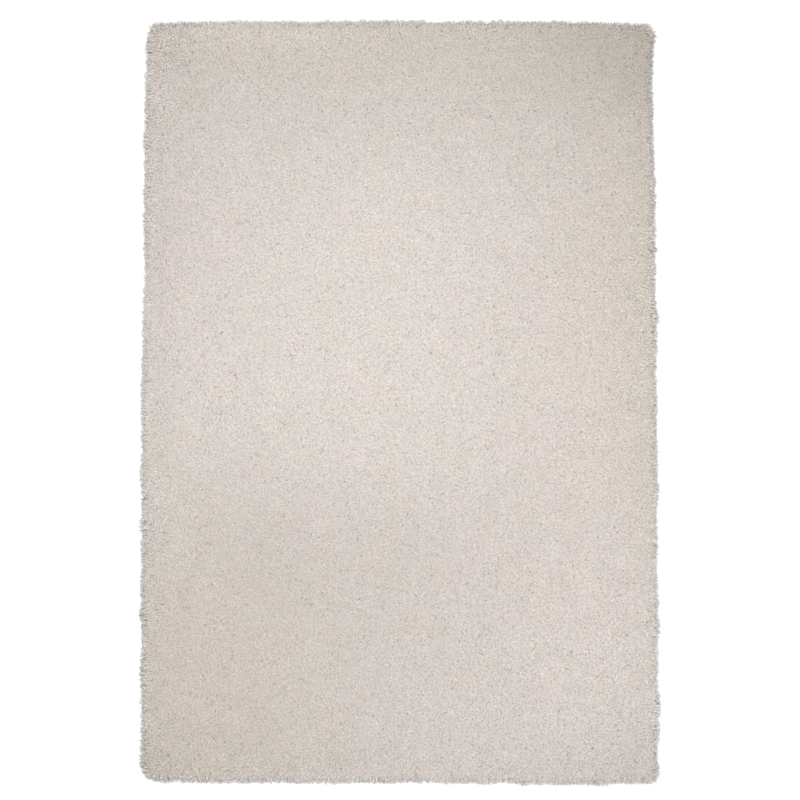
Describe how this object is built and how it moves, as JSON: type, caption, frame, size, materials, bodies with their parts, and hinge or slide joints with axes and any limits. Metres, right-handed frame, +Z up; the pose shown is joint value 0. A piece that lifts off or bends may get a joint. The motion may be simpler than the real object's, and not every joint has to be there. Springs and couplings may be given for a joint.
{
  "type": "shag rug",
  "caption": "Rectangular shag rug lying flat: a deep lumpy ivory pile on a flat backing, with small round corners and uneven locks of yarn along its rim.",
  "frame": {"origin": "centre of the flat underside, on the floor", "axes": "+X across the rug to the right and +Y along it to the far end, as it is seen from above; +Z up out of the pile"},
  "size_m": [1.5798, 2.3286, 0.0407],
  "materials": {
    "ivory_yarn": "matt cut pile of soft spun polyester yarn, warm ivory, with darker roots between the tufts",
    "backing_canvas": "plain woven ecru backing, matt, hidden under the pile"
  },
  "bodies": {
    "root": {"shag_rug": "ivory_yarn"}
  },
  "joints": []
}
